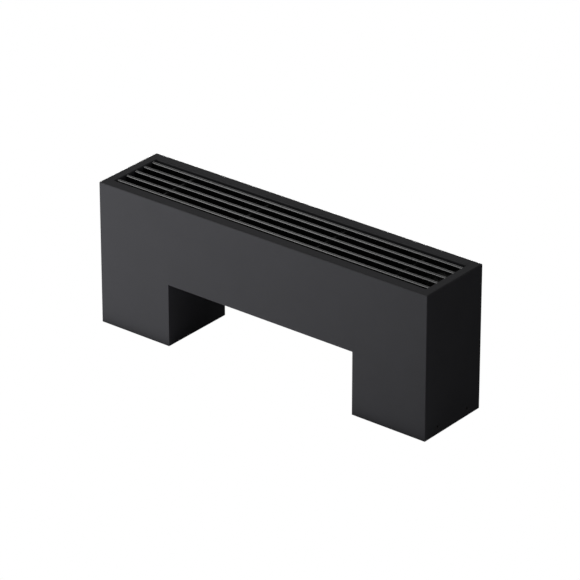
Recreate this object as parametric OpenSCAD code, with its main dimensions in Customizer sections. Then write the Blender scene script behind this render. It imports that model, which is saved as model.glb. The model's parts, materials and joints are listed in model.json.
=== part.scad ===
// Floor-standing hot-water convector: a long casing on two box legs, open underneath between
// the legs, with a lift-off grille on top and a finned heat exchanger inside.
// Origin on the floor, under the middle of the casing. +X along its length, front face at -Y.

/* [Casing] */
// Overall length of the casing
casing_l = 600; // [520:5:1200]
// Overall depth of the casing, front to back
casing_d = 130; // [122:1:180]
// Height of the body above the arch
body_h = 130; // [115:1:200]
// Clear height of the arch between the legs
arch_h = 100; // [70:1:160]
// Length of each leg along the casing
leg_w = 130; // [126:1:180]
// Thickness of the casing sheet
sheet_t = 1.5; // [1:0.1:2]
// Inner radius of the folds in the casing sheet
fold_r = 0.5; // [0.3:0.1:1.5]
// Width of the top rim along the front and the back
side_rim = 17.5; // [12:0.5:22]
// Width of the top rim at the two ends
end_rim = 15; // [10:0.5:20]
// Depth of the lip folded down round the grille opening
lip_h = 10; // [6:0.5:14]
// Width of the edge folded in along the top of the arch
return_w = 20; // [10:1:30]
// Leg of the angles inside the upright corners of the casing
angle_w = 13; // [8:1:14]

/* [Grille] */
// Thickness of a grille bar
bar_t = 5; // [4:0.5:8]
// Height of a grille bar
bar_h = 16; // [12:0.5:18]
// Radius of the top edges of a grille bar
bar_edge_r = 1.9; // [0.5:0.1:1.9]
// How far the bars lie below the top rim
bar_drop = 1.2; // [0:0.1:3]
// Gap between the rim and the first bar
bar_side_gap = 5.8; // [3:0.1:9]
// Play at each end of the bars
bar_end_gap = 0.5; // [0.3:0.1:2]
// Radius of the rods that tie the bars together
tie_r = 2; // [1.5:0.1:2.5]
// Outer radius of the spacers on the rods
spacer_r = 3.2; // [2.8:0.1:5]

/* [Heat exchanger] */
// Height of the tubes in the body, as a share of its height above the arch
tube_share = 0.385; // [0.36:0.005:0.42]
// Distance between the two tubes
tube_spacing = 50; // [46:1:54]
// Outer radius of the tubes and pipes
tube_r = 7.5; // [6:0.1:7.8]
// Wall of the tubes and pipes
tube_wall = 1; // [0.7:0.1:1.5]
// Height of a fin
fin_h = 60; // [40:1:70]
// Thickness of a fin
fin_t = 0.4; // [0.3:0.1:0.8]
// Distance from fin to fin
fin_pitch = 5; // [4:0.5:8]
// Room left at each side of the fins when they are lowered through the grille opening
drop_gap = 3.5; // [1:0.5:5]

/* [Brackets] */
// Thickness of the floor brackets
bracket_t = 3; // [2:0.5:4]
// Distance between the floor screws along the casing
anchor_x = 90; // [84:1:92]
// Radius of the holes for the floor screws
anchor_r = 4.25; // [3:0.25:4.5]
// Thickness of the uprights
upright_t = 2; // [1.5:0.5:3]
// Height of the casing screws above the floor
screw_z = 12; // [11:0.5:14]
// Distance between the two casing screws of an end panel
screw_spacing = 70; // [50:1:76]

/* [Valves] */
// Stroke of the two valves
valve_stroke = 3; // [1.5:0.1:3]
// Outer radius of the hand cap
hand_cap_r = 17; // [16.5:0.1:18]
// Number of grip ribs on the hand cap
hand_cap_ribs = 20; // [12:1:30]

/* [Hidden] */
$fn = 64;

// Overrun of every cut past the face it opens
overrun = 1;
// Radial play between round pieces that fit into each other
fit = 0.05;

// Casing
casing_h = arch_h + body_h;
bend_r = sheet_t + fold_r;
arch_l = casing_l - 2 * leg_w;
opening_l = casing_l - 2 * end_rim;
opening_d = casing_d - 2 * side_rim;
inner_l = casing_l - 2 * sheet_t;
inner_d = casing_d - 2 * sheet_t;
leg_x = (casing_l - leg_w) / 2;
leg_flange_w = 12;
angle_foot = 5;
angle_head = 4;

// Casing screws in pressed dimples
dimple_r = 4.9;
dimple_reach = 3.4;
screw_hole_r = 2.75;
screw_r = 2.5;
screw_recess = 0.3;
screw_length = 16;
socket_r = 1.7;
socket_depth = 1.8;

// Grille
bar_count = 5;
bar_l = opening_l - 2 * bar_end_gap;
bar_top = casing_h - bar_drop;
bar_foot = bar_top - bar_h;
bar_pitch = (opening_d - 2 * bar_side_gap - bar_t) / (bar_count - 1);
tie_shares = [-0.375, -0.125, 0.125, 0.375];
tie_z = bar_foot + spacer_r;
pad_t = 1.5;
pad_w = 8;
ledge_t = 1.5;
ledge_w = end_rim + pad_w + bar_end_gap;
ledge_leg = 14;
ledge_side_gap = 1.5;
ledge_d = opening_d - 2 * ledge_side_gap;

// Places along the casing, counted from the middle of a leg
upright_in = 26;
valve_out = 11;
upright_x = leg_x - upright_in;
valve_x = leg_x + valve_out;

// Heat exchanger
tube_z = arch_h + round(tube_share * body_h);
fin_d = opening_d - 2 * drop_gap;
fin_play = 0.2;
collar_wall = 0.3;
end_plate_t = 1;
end_plate_lip = 4;
end_plate_gap = 6;
end_plate_x = upright_x - upright_t / 2 - end_plate_gap;
fin_span = 2 * (end_plate_x - end_plate_t);
fin_half_count = floor((fin_span / 2 - fin_t) / fin_pitch);
bush_wall = 2;
bush_rim = 1;
bush_r = tube_r + bush_wall;

// Fittings, measured from the axis of the tube and from the axis of the valve
spigot_r = 9.5;
spigot_reach = 20;
socket_in = 6;
port_r = 6.5;
valve_r = 11;
valve_up = 18;
valve_down = 12;
chamber_r = 8;
chamber_foot = -4;
seat_r = 5;
nut_af = 24;
nut_overlap = 6;
nut_reach = 10;
nut_face = 4;
olive_play = 0.5;
olive_side_play = 0.1;
pipe_socket_l = 20;

// Moving pieces of the valves
insert_in = 8;
insert_af = 20;
insert_flange = 4;
collar_r = 15;
collar_h = 8;
stem_r = 2;
disc_r = 6.5;
disc_t = 2.5;
seat_play = 0.3;
disc_z = chamber_foot + seat_play + valve_stroke;
disc_top = disc_z + disc_t;
insert_top = valve_up + insert_flange;
stem_over = 6;
stem_top = insert_top + collar_h + stem_over;
hand_cap_lift = 1;
hand_cap_roof = 12;
rib_r = 0.8;
rib_margin = 2;
neck_r = 7;
spindle_r = 3;
spindle_over = 4;
spindle_top = insert_top + collar_h + spindle_over;
swivel_h = 3.2;
swivel_wall = 2;
key_r = 1.8;
key_depth = 4;
dust_cap_wall = 2.5;
dust_cap_roof = 2;
dust_cap_room = 2;

// Header, air vent and drain plug
header_l = 80;
header_wall = 3;
vent_boss_r = 8;
vent_boss_h = 16;
vent_in = 7;
vent_r = 5;
vent_af = 12;
vent_hex_h = 6;
vent_neck_r = 4.5;
vent_neck_h = 4;
vent_screw_r = 2.5;
vent_seat = 3;
vent_hole_r = 1.2;
vent_way_r = 2;
vent_key_w = 3.6;
vent_key_h = 6;
drain_boss_h = 18;
drain_in = 10;
drain_r = 6.5;
drain_hole_r = 4;
drain_af = 14;
drain_head_h = 6;
drain_play = 0.5;

// Floor brackets and uprights
bracket_margin = 3;
bracket_side_margin = 7;
anchor_margin = 13;
bracket_in = leg_x - leg_w / 2 + bracket_margin;
bracket_out = casing_l / 2 - dimple_reach;
bracket_d = casing_d - 2 * bracket_side_margin;
anchor_y = bracket_d - 2 * anchor_margin;
ear_h = 24;
ear_side = 11;
ear_w = screw_spacing + 2 * ear_side;
pipe_gap_l = 52;
pipe_gap_side = 17;
pipe_gap_d = tube_spacing + 2 * pipe_gap_side;
pipe_gap_shift = 2;
pipe_gap_x = valve_x - pipe_gap_shift;
upright_d = 90;
upright_over = 25;
upright_foot_l = 22;
upright_foot_d = 60;
stud_r = 3;
stud_h = 11;
stud_spacing = 36;
stud_x = upright_x - upright_foot_l / 2;
stud_hole_play = 0.3;
stud_nut_af = 10;
stud_nut_h = 5;

paint = [0.17, 0.17, 0.18];
bar_paint = [0.12, 0.12, 0.12];
zinc = [0.62, 0.64, 0.66];
copper = [0.72, 0.42, 0.26];
fin_metal = [0.82, 0.83, 0.84];
brass = [0.74, 0.6, 0.32];
plastic_white = [0.88, 0.88, 0.86];
rubber_black = [0.08, 0.08, 0.08];

// Shared shapes

// Radius of the circle round a hexagon, from its width across the flats
function hex_r(across_flats) = across_flats / sqrt(3);

// Cylinder standing on its lower end, from low to high
module rod(r, low, high) {
    translate([0, 0, low])
        cylinder(r = r, h = high - low);
}

// Hexagonal prism from low to high
module hexagon(across_flats, low, high) {
    translate([0, 0, low])
        cylinder(r = hex_r(across_flats), h = high - low, $fn = 6);
}

// Turns the upward axis towards +X
module along_x() {
    rotate([0, 90, 0])
        children();
}

// The same shape at the front tube and at the rear tube
module at_both_tubes() {
    for (side = [-1, 1])
        translate([0, side * tube_spacing / 2, 0])
            children();
}

// The same shape at the right end and, mirrored, at the left end
module at_both_ends() {
    children();
    mirror([1, 0, 0])
        children();
}

// Quarter of a fold, in the quadrant given by quarter
module fold_arc(quarter) {
    intersection() {
        difference() {
            circle(r = bend_r);
            circle(r = fold_r);
        }
        rotate(quarter * 90)
            square(bend_r);
    }
}

// Casing

// Section through a panel with its rim and lip; inwards to the right, upwards
module rim_section(rim) {
    square([sheet_t, casing_h - bend_r]);
    translate([bend_r, casing_h - sheet_t])
        square([rim - 2 * bend_r, sheet_t]);
    translate([rim - sheet_t, casing_h - lip_h])
        square([sheet_t, lip_h - bend_r]);
    translate([bend_r, casing_h - bend_r])
        fold_arc(1);
    translate([rim - bend_r, casing_h - bend_r])
        fold_arc(0);
}

// Section through the edge folded in along the top of the arch
module return_section() {
    translate([bend_r, arch_h + bend_r])
        fold_arc(2);
    translate([bend_r, arch_h])
        square([return_w - bend_r, sheet_t]);
}

// Everything that belongs to the right end panel, split off along the corner mitres
module end_zone() {
    half_l = casing_l / 2;
    half_d = casing_d / 2;
    side = [
        [half_l + overrun, half_d + overrun],
        [half_l - bend_r, half_d - bend_r],
        [half_l - end_rim + bend_r, half_d - side_rim + bend_r],
        [half_l - end_rim, half_d - side_rim]
    ];
    far_side = [for (i = [len(side) - 1 : -1 : 0]) [side[i][0], -side[i][1]]];
    translate([0, 0, -overrun])
        linear_extrude(casing_h + 2 * overrun)
            polygon(concat(side, far_side));
}

module front_shell() {
    difference() {
        translate([-casing_l / 2, -casing_d / 2, 0])
            rotate([90, 0, 90])
                linear_extrude(casing_l)
                    rim_section(side_rim);
        translate([-arch_l / 2, -casing_d / 2 - overrun, -overrun])
            cube([arch_l, sheet_t + 2 * overrun, arch_h + bend_r + overrun]);
        at_both_ends()
            end_zone();
    }
    translate([-arch_l / 2, -casing_d / 2, 0])
        rotate([90, 0, 90])
            linear_extrude(arch_l)
                return_section();
}

module front_panel() {
    color(paint)
        front_shell();
}

module rear_panel() {
    color(paint)
        mirror([0, 1, 0])
            front_shell();
}

// Places of the casing screws at the right end, pointing inwards
module at_casing_screws() {
    for (side = [-1, 1])
        translate([casing_l / 2, side * screw_spacing / 2, screw_z])
            rotate([0, -90, 0])
                children();
}

module end_shell() {
    difference() {
        union() {
            intersection() {
                translate([casing_l / 2, casing_d / 2, 0])
                    mirror([1, 0, 0])
                        rotate([90, 0, 0])
                            linear_extrude(casing_d)
                                rim_section(end_rim);
                end_zone();
            }
            at_casing_screws()
                cylinder(r1 = dimple_r + sheet_t, r2 = screw_hole_r + sheet_t, h = dimple_reach);
        }
        at_casing_screws() {
            translate([0, 0, -overrun])
                cylinder(
                    r1 = dimple_r + overrun,
                    r2 = screw_hole_r,
                    h = dimple_r + overrun - screw_hole_r
                );
            rod(screw_hole_r, 0, dimple_reach + overrun);
        }
    }
}

module right_end_panel() {
    color(paint)
        end_shell();
}

module left_end_panel() {
    color(paint)
        mirror([1, 0, 0])
            end_shell();
}

// Inner panel of the right leg: a wall with edges folded in at the front, the back and the top
module leg_inner_shell() {
    wall_x = arch_l / 2;
    translate([wall_x, -inner_d / 2, 0])
        cube([sheet_t, inner_d, arch_h]);
    for (side = [0, 1])
        mirror([0, side, 0])
            translate([wall_x, -inner_d / 2, 0])
                cube([leg_flange_w, sheet_t, arch_h]);
    translate([wall_x, -inner_d / 2, arch_h - sheet_t])
        cube([leg_flange_w, inner_d, sheet_t]);
}

module right_leg_inner_panel() {
    color(paint)
        leg_inner_shell();
}

module left_leg_inner_panel() {
    color(paint)
        mirror([1, 0, 0])
            leg_inner_shell();
}

// Angle inside an upright corner; side_x and side_y name the corner
module corner_angle(side_x, side_y) {
    color(zinc)
        mirror([side_x > 0 ? 0 : 1, 0, 0])
            mirror([0, side_y > 0 ? 0 : 1, 0])
                translate([inner_l / 2 - angle_w, inner_d / 2 - angle_w, angle_foot])
                    linear_extrude(casing_h - sheet_t - angle_head - angle_foot)
                        difference() {
                            square(angle_w);
                            translate([-overrun, -overrun])
                                square(angle_w - sheet_t + overrun);
                        }
}

module front_left_corner_angle() {
    corner_angle(-1, -1);
}

module front_right_corner_angle() {
    corner_angle(1, -1);
}

module rear_left_corner_angle() {
    corner_angle(-1, 1);
}

module rear_right_corner_angle() {
    corner_angle(1, 1);
}

// Countersunk screws, a little below the face of the panel
module casing_screws() {
    head_r = dimple_r - screw_recess - fit;
    neck_z = screw_recess + head_r - screw_r;
    color(paint)
        at_both_ends()
            at_casing_screws()
                difference() {
                    union() {
                        translate([0, 0, screw_recess])
                            cylinder(r1 = head_r, r2 = screw_r, h = head_r - screw_r);
                        rod(screw_r, neck_z, screw_recess + screw_length);
                    }
                    hexagon(2 * socket_r, screw_recess - overrun, screw_recess + socket_depth);
                }
}

// Grille supports

// Shelf welded inside the right end panel, under the ends of the bars
module grille_ledge() {
    top = bar_foot - pad_t;
    translate([casing_l / 2 - ledge_w, -ledge_d / 2, top - ledge_t])
        cube([ledge_w - sheet_t, ledge_d, ledge_t]);
    translate([inner_l / 2 - ledge_t, -ledge_d / 2, top - ledge_leg])
        cube([ledge_t, ledge_d, ledge_leg]);
}

module right_grille_ledge() {
    color(zinc)
        grille_ledge();
}

module left_grille_ledge() {
    color(zinc)
        mirror([1, 0, 0])
            grille_ledge();
}

module grille_pad() {
    translate([casing_l / 2 - ledge_w, -ledge_d / 2, bar_foot - pad_t])
        cube([pad_w, ledge_d, pad_t]);
}

module right_grille_pad() {
    color(rubber_black)
        grille_pad();
}

module left_grille_pad() {
    color(rubber_black)
        mirror([1, 0, 0])
            grille_pad();
}

// Grille

// Distance of a bar from the middle of the grille, with the bars numbered from the front
function bar_y(number) = (number - (bar_count + 1) / 2) * bar_pitch;

module bar_section() {
    straight_h = bar_h - bar_edge_r;
    translate([-bar_t / 2, 0])
        square([bar_t, straight_h]);
    translate([bar_edge_r - bar_t / 2, straight_h])
        square([bar_t - 2 * bar_edge_r, bar_edge_r]);
    for (side = [-1, 1])
        translate([side * (bar_t / 2 - bar_edge_r), straight_h])
            circle(r = bar_edge_r);
}

// Places of the tie rods, with the upward axis turned towards the back
module at_ties() {
    for (share = tie_shares)
        translate([share * bar_l, 0, tie_z])
            rotate([-90, 0, 0])
                children();
}

module grille_bar(number) {
    y = bar_y(number);
    color(bar_paint)
        difference() {
            translate([-bar_l / 2, y, bar_foot])
                rotate([90, 0, 90])
                    linear_extrude(bar_l)
                        bar_section();
            at_ties()
                rod(tie_r + fit, y - bar_t, y + bar_t);
        }
}

module grille_tie_rods() {
    color(bar_paint)
        at_ties()
            rod(tie_r, bar_y(1) - bar_t / 2, bar_y(bar_count) + bar_t / 2);
}

module grille_spacers() {
    color(bar_paint)
        at_ties()
            for (number = [1 : bar_count - 1])
                difference() {
                    rod(spacer_r, bar_y(number) + bar_t / 2, bar_y(number + 1) - bar_t / 2);
                    rod(tie_r + fit, bar_y(number), bar_y(number + 1));
                }
}

module grille_bar_1() {
    grille_bar(1);
}

module grille_bar_2() {
    grille_bar(2);
}

module grille_bar_3() {
    grille_bar(3);
}

module grille_bar_4() {
    grille_bar(4);
}

module grille_bar_5() {
    grille_bar(5);
}

// Floor brackets and uprights

// Pressed foot inside the right leg, with an ear for the casing screws
module floor_bracket() {
    difference() {
        union() {
            translate([bracket_in, -bracket_d / 2, 0])
                cube([bracket_out - bracket_in, bracket_d, bracket_t]);
            translate([bracket_out - bracket_t, -ear_w / 2, 0])
                cube([bracket_t, ear_w, ear_h]);
        }
        for (side_x = [-1, 1], side_y = [-1, 1])
            translate([leg_x + side_x * anchor_x / 2, side_y * anchor_y / 2, 0])
                rod(anchor_r, -overrun, bracket_t + overrun);
        translate([pipe_gap_x - pipe_gap_l / 2, -pipe_gap_d / 2, -overrun])
            cube([pipe_gap_l, pipe_gap_d, bracket_t + 2 * overrun]);
        at_casing_screws()
            rod(screw_r + fit, 0, screw_length);
    }
}

module right_floor_bracket() {
    color(zinc)
        floor_bracket();
}

module left_floor_bracket() {
    color(zinc)
        mirror([1, 0, 0])
            floor_bracket();
}

// Plate that carries the tubes in two slots open at the top, on a folded foot
module upright() {
    difference() {
        union() {
            translate([upright_x - upright_t / 2, -upright_d / 2, bracket_t])
                cube([upright_t, upright_d, tube_z + upright_over - bracket_t]);
            translate([upright_x - upright_foot_l, -upright_foot_d / 2, bracket_t])
                cube([upright_foot_l, upright_foot_d, upright_t]);
        }
        at_both_tubes()
            translate([upright_x, 0, tube_z]) {
                along_x()
                    rod(bush_r, -upright_t, upright_t);
                translate([-upright_t, -bush_r, 0])
                    cube([2 * upright_t, 2 * bush_r, upright_over + overrun]);
            }
        at_studs()
            rod(stud_r + stud_hole_play, 0, bracket_t + upright_t + overrun);
    }
}

module right_upright() {
    color(zinc)
        upright();
}

module left_upright() {
    color(zinc)
        mirror([1, 0, 0])
            upright();
}

module at_studs() {
    for (side = [-1, 1])
        translate([stud_x, side * stud_spacing / 2, 0])
            children();
}

module upright_studs() {
    color(zinc)
        at_both_ends()
            at_studs()
                rod(stud_r, bracket_t, bracket_t + stud_h);
}

module upright_nuts() {
    foot_top = bracket_t + upright_t;
    color(zinc)
        at_both_ends()
            at_studs()
                difference() {
                    hexagon(stud_nut_af, foot_top, foot_top + stud_nut_h);
                    rod(stud_r + fit, foot_top - overrun, foot_top + stud_nut_h + overrun);
                }
}

// Heat exchanger

// Stack of fins whose collars space them along the tubes
module exchanger_fins() {
    stack_end = fin_half_count * fin_pitch;
    color(fin_metal)
        difference() {
            union() {
                for (i = [-fin_half_count : fin_half_count])
                    translate([i * fin_pitch - fin_t / 2, -fin_d / 2, tube_z - fin_h / 2])
                        cube([fin_t, fin_d, fin_h]);
                at_both_tubes()
                    translate([0, 0, tube_z])
                        along_x()
                            rod(tube_r + fin_play + collar_wall, -stack_end, stack_end);
            }
            at_both_tubes()
                translate([0, 0, tube_z])
                    along_x()
                        rod(tube_r + fin_play, -stack_end - overrun, stack_end + overrun);
        }
}

module exchanger_tube() {
    half_l = valve_x - spigot_reach + socket_in;
    color(copper)
        translate([0, 0, tube_z])
            along_x()
                difference() {
                    rod(tube_r, -half_l, half_l);
                    rod(tube_r - tube_wall, -half_l - overrun, half_l + overrun);
                }
}

module front_exchanger_tube() {
    translate([0, -tube_spacing / 2, 0])
        exchanger_tube();
}

module rear_exchanger_tube() {
    translate([0, tube_spacing / 2, 0])
        exchanger_tube();
}

// Plate beside the last fin, with its lower and upper edge folded outwards
module end_plate() {
    x = end_plate_x - end_plate_t;
    z = tube_z - fin_h / 2;
    difference() {
        union() {
            translate([x, -fin_d / 2, z])
                cube([end_plate_t, fin_d, fin_h]);
            for (edge_z = [z, z + fin_h - end_plate_t])
                translate([x, -fin_d / 2, edge_z])
                    cube([end_plate_lip, fin_d, end_plate_t]);
        }
        at_both_tubes()
            translate([x, 0, tube_z])
                along_x()
                    rod(tube_r + fin_play, -overrun, end_plate_t + overrun);
    }
}

module right_end_plate() {
    color(zinc)
        end_plate();
}

module left_end_plate() {
    color(zinc)
        mirror([1, 0, 0])
            end_plate();
}

// Grooved plastic rings that seat the tubes in the slots of the uprights
module tube_bushes() {
    groove = upright_t / 2;
    color(plastic_white)
        at_both_ends()
            at_both_tubes()
                translate([upright_x, 0, tube_z])
                    along_x()
                        difference() {
                            union() {
                                rod(bush_r - fit, -groove, groove);
                                rod(bush_r + bush_rim, groove, groove + bush_rim);
                                rod(bush_r + bush_rim, -groove - bush_rim, -groove);
                            }
                            rod(tube_r + fit, -groove - bush_rim - overrun, groove + bush_rim + overrun);
                        }
}

// Spigot that takes the end of a tube, pointing upwards, solid and hollow
module spigot_outer() {
    rod(spigot_r, 0, spigot_reach);
}

module spigot_bore() {
    rod(port_r, 0, spigot_reach - socket_in);
    rod(tube_r + fit, spigot_reach - socket_in, spigot_reach + overrun);
}

// Closed cross tube at the left end, which leads the water from one tube into the other
module return_header() {
    header_half_l = header_l / 2;
    color(brass)
        translate([-valve_x, 0, tube_z])
            difference() {
                union() {
                    rotate([90, 0, 0])
                        rod(valve_r, -header_half_l, header_half_l);
                    at_both_tubes()
                        along_x()
                            spigot_outer();
                    rod(vent_boss_r, 0, vent_boss_h);
                    rod(spigot_r, -drain_boss_h, 0);
                }
                rotate([90, 0, 0])
                    rod(valve_r - header_wall, header_wall - header_half_l, header_half_l - header_wall);
                at_both_tubes()
                    along_x()
                        spigot_bore();
                rod(vent_way_r, 0, vent_boss_h);
                rod(vent_r + fit, vent_boss_h - vent_in, vent_boss_h + overrun);
                rod(drain_hole_r, -drain_boss_h, 0);
                rod(drain_r + fit, -drain_boss_h - overrun, drain_in - drain_boss_h);
            }
}

module air_vent_body() {
    foot = vent_boss_h - vent_in;
    top = vent_boss_h + vent_hex_h + vent_neck_h;
    color(brass)
        translate([-valve_x, 0, tube_z])
            difference() {
                union() {
                    rod(vent_r, foot, vent_boss_h);
                    hexagon(vent_af, vent_boss_h, vent_boss_h + vent_hex_h);
                    rod(vent_neck_r, vent_boss_h + vent_hex_h, top);
                }
                rod(vent_hole_r, foot - overrun, foot + vent_seat);
                rod(vent_screw_r + fit, foot + vent_seat, top + overrun);
                translate([0, 0, vent_boss_h + vent_hex_h / 2])
                    rotate([90, 0, 0])
                        rod(vent_hole_r, 0, vent_af);
            }
}

// Bleed screw with a square head for the key
module vent_screw() {
    top = vent_boss_h + vent_hex_h + vent_neck_h;
    color(brass)
        translate([-valve_x, 0, tube_z]) {
            rod(vent_screw_r, vent_boss_h - vent_in + vent_seat, top);
            translate([-vent_key_w / 2, -vent_key_w / 2, top])
                cube([vent_key_w, vent_key_w, vent_key_h]);
        }
}

module drain_plug() {
    color(brass)
        translate([-valve_x, 0, tube_z - drain_boss_h]) {
            rod(drain_r, 0, drain_in - drain_play);
            hexagon(drain_af, -drain_head_h, 0);
        }
}

// Pipes and valves

// Riser whose lower end is widened to a socket for the pipe from the floor
module riser() {
    top = tube_z - spigot_reach + socket_in;
    widening = tube_wall + fit;
    color(copper)
        translate([valve_x, 0, 0])
            difference() {
                union() {
                    rod(tube_r, 0, top);
                    rod(tube_r + widening, 0, pipe_socket_l);
                    translate([0, 0, pipe_socket_l])
                        cylinder(r1 = tube_r + widening, r2 = tube_r, h = widening);
                }
                rod(tube_r - tube_wall, 0, top + overrun);
                rod(tube_r + fit, -overrun, pipe_socket_l);
                translate([0, 0, pipe_socket_l])
                    cylinder(r1 = tube_r + fit, r2 = tube_r - tube_wall, h = widening);
            }
}

module supply_pipe() {
    translate([0, -tube_spacing / 2, 0])
        riser();
}

module return_pipe() {
    translate([0, tube_spacing / 2, 0])
        riser();
}

// Angle valve body: pipe from below, tube from the side, moving parts from above
module valve_body() {
    color(brass)
        translate([valve_x, 0, tube_z])
            difference() {
                union() {
                    rod(valve_r, -valve_down, valve_up);
                    rotate([0, -90, 0])
                        spigot_outer();
                    rotate([180, 0, 0])
                        spigot_outer();
                }
                rod(chamber_r, chamber_foot, valve_up + overrun);
                rod(seat_r, socket_in - spigot_reach, chamber_foot);
                rod(tube_r + fit, -spigot_reach - overrun, socket_in - spigot_reach);
                rotate([0, -90, 0])
                    spigot_bore();
            }
}

module supply_valve_body() {
    translate([0, -tube_spacing / 2, 0])
        valve_body();
}

module return_valve_body() {
    translate([0, tube_spacing / 2, 0])
        valve_body();
}

// Ends of the four valve spigots, with the upward axis pointing out of the valve
module at_clamps() {
    at_both_tubes()
        translate([valve_x, 0, tube_z])
            for (turn = [-90, 180])
                rotate([0, turn, 0])
                    translate([0, 0, spigot_reach])
                        children();
}

module clamping_nuts() {
    color(brass)
        at_clamps()
            difference() {
                hexagon(nut_af, -nut_overlap, nut_reach);
                rod(spigot_r + fit, -nut_overlap - overrun, nut_reach - nut_face);
                rod(tube_r + fit, 0, nut_reach + overrun);
            }
}

// Soft rings squeezed on to the pipes by the nuts
module clamping_rings() {
    color(brass)
        at_clamps()
            difference() {
                rod(spigot_r - olive_side_play, 0, nut_reach - nut_face - olive_play);
                rod(tube_r + fit, -overrun, nut_reach);
            }
}

// Axis of the supply valve, at the front
module at_supply_valve() {
    translate([valve_x, -tube_spacing / 2, tube_z])
        children();
}

// Axis of the return valve, at the back
module at_return_valve() {
    translate([valve_x, tube_spacing / 2, tube_z])
        children();
}

// Insert screwed into the supply valve, with the collar that the hand cap turns on
module valve_insert() {
    color(zinc)
        at_supply_valve()
            difference() {
                union() {
                    rod(chamber_r - fit, valve_up - insert_in, valve_up);
                    hexagon(insert_af, valve_up, insert_top);
                    rod(collar_r, insert_top, insert_top + collar_h);
                }
                rod(stem_r + fit, 0, stem_top);
            }
}

// Stem and closing disc of the supply valve
module valve_stem() {
    color(zinc)
        at_supply_valve() {
            rod(disc_r, disc_z, disc_top);
            rod(stem_r, disc_top, stem_top);
        }
}

module hand_cap() {
    foot = insert_top + hand_cap_lift;
    top = stem_top + hand_cap_roof;
    color(plastic_white)
        at_supply_valve()
            difference() {
                union() {
                    rod(hand_cap_r, foot, top);
                    for (i = [0 : hand_cap_ribs - 1])
                        rotate(i * 360 / hand_cap_ribs)
                            translate([hand_cap_r, 0, 0])
                                rod(rib_r, foot + rib_margin, top - rib_margin);
                }
                rod(collar_r + fit, foot - overrun, stem_top);
            }
}

// Bonnet screwed into the return valve
module lockshield_bonnet() {
    color(brass)
        at_return_valve()
            difference() {
                union() {
                    rod(chamber_r - fit, valve_up - insert_in, valve_up);
                    hexagon(insert_af, valve_up, insert_top);
                    rod(neck_r, insert_top, insert_top + collar_h);
                }
                rod(spindle_r + fit, 0, spindle_top);
            }
}

// Closing disc of the return valve, with the socket in which the spindle turns
module lockshield_disc() {
    color(brass)
        at_return_valve() {
            rod(disc_r, disc_z, disc_top);
            difference() {
                rod(spindle_r + fit + swivel_wall, disc_top, disc_top + swivel_h);
                rod(spindle_r + fit, disc_top, disc_top + swivel_h + overrun);
            }
        }
}

module lockshield_spindle() {
    color(brass)
        at_return_valve()
            difference() {
                rod(spindle_r, disc_top, spindle_top);
                hexagon(2 * key_r, spindle_top - key_depth, spindle_top + overrun);
            }
}

// Dust cap pushed over the neck of the bonnet
module lockshield_cap() {
    color(plastic_white)
        at_return_valve()
            difference() {
                rod(
                    neck_r + fit + dust_cap_wall,
                    insert_top,
                    spindle_top + dust_cap_room + dust_cap_roof
                );
                rod(neck_r + fit, insert_top - overrun, spindle_top + dust_cap_room);
            }
}

front_panel();
rear_panel();
left_end_panel();
right_end_panel();
left_leg_inner_panel();
right_leg_inner_panel();
front_left_corner_angle();
front_right_corner_angle();
rear_left_corner_angle();
rear_right_corner_angle();
casing_screws();
left_grille_ledge();
right_grille_ledge();
left_grille_pad();
right_grille_pad();
grille_bar_1();
grille_bar_2();
grille_bar_3();
grille_bar_4();
grille_bar_5();
grille_tie_rods();
grille_spacers();
left_floor_bracket();
right_floor_bracket();
left_upright();
right_upright();
upright_studs();
upright_nuts();
exchanger_fins();
front_exchanger_tube();
rear_exchanger_tube();
left_end_plate();
right_end_plate();
tube_bushes();
return_header();
air_vent_body();
vent_screw();
drain_plug();
supply_pipe();
return_pipe();
supply_valve_body();
return_valve_body();
clamping_nuts();
clamping_rings();
valve_insert();
valve_stem();
hand_cap();
lockshield_bonnet();
lockshield_disc();
lockshield_spindle();
lockshield_cap();
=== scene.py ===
# %% [markdown]
# A floor-standing convector: a long black steel casing on two box legs, with a bar grille on
# top and a finned water heater inside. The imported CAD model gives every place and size. This
# script dresses it: soft edges, welded corners, real finishes, a studio and a camera.

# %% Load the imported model
import json
from math import cos, pi, radians, sin

import bmesh
import bpy
from mathutils import Matrix, Vector


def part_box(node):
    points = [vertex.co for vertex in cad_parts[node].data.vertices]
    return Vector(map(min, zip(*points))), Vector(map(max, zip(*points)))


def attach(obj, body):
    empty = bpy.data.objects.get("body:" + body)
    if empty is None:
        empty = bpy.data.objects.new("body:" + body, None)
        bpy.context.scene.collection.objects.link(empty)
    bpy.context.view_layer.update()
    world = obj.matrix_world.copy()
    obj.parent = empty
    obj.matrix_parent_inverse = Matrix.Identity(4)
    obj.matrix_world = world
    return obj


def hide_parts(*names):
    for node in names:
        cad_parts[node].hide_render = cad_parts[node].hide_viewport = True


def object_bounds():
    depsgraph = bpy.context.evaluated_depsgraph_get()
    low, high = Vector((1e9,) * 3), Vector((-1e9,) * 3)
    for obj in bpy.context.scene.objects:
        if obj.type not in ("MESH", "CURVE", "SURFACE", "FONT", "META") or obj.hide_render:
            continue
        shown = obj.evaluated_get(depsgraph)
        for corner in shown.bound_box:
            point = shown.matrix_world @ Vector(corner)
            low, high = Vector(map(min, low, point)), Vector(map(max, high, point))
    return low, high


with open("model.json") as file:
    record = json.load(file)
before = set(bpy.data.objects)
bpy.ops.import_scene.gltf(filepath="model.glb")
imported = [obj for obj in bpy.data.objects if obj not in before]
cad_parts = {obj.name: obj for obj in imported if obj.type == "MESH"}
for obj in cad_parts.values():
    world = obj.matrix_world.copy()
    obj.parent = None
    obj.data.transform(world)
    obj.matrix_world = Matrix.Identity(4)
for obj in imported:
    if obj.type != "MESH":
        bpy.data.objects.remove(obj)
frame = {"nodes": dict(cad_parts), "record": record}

cad_low, cad_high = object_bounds()
scene = bpy.context.scene
MM = 0.001
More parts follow.
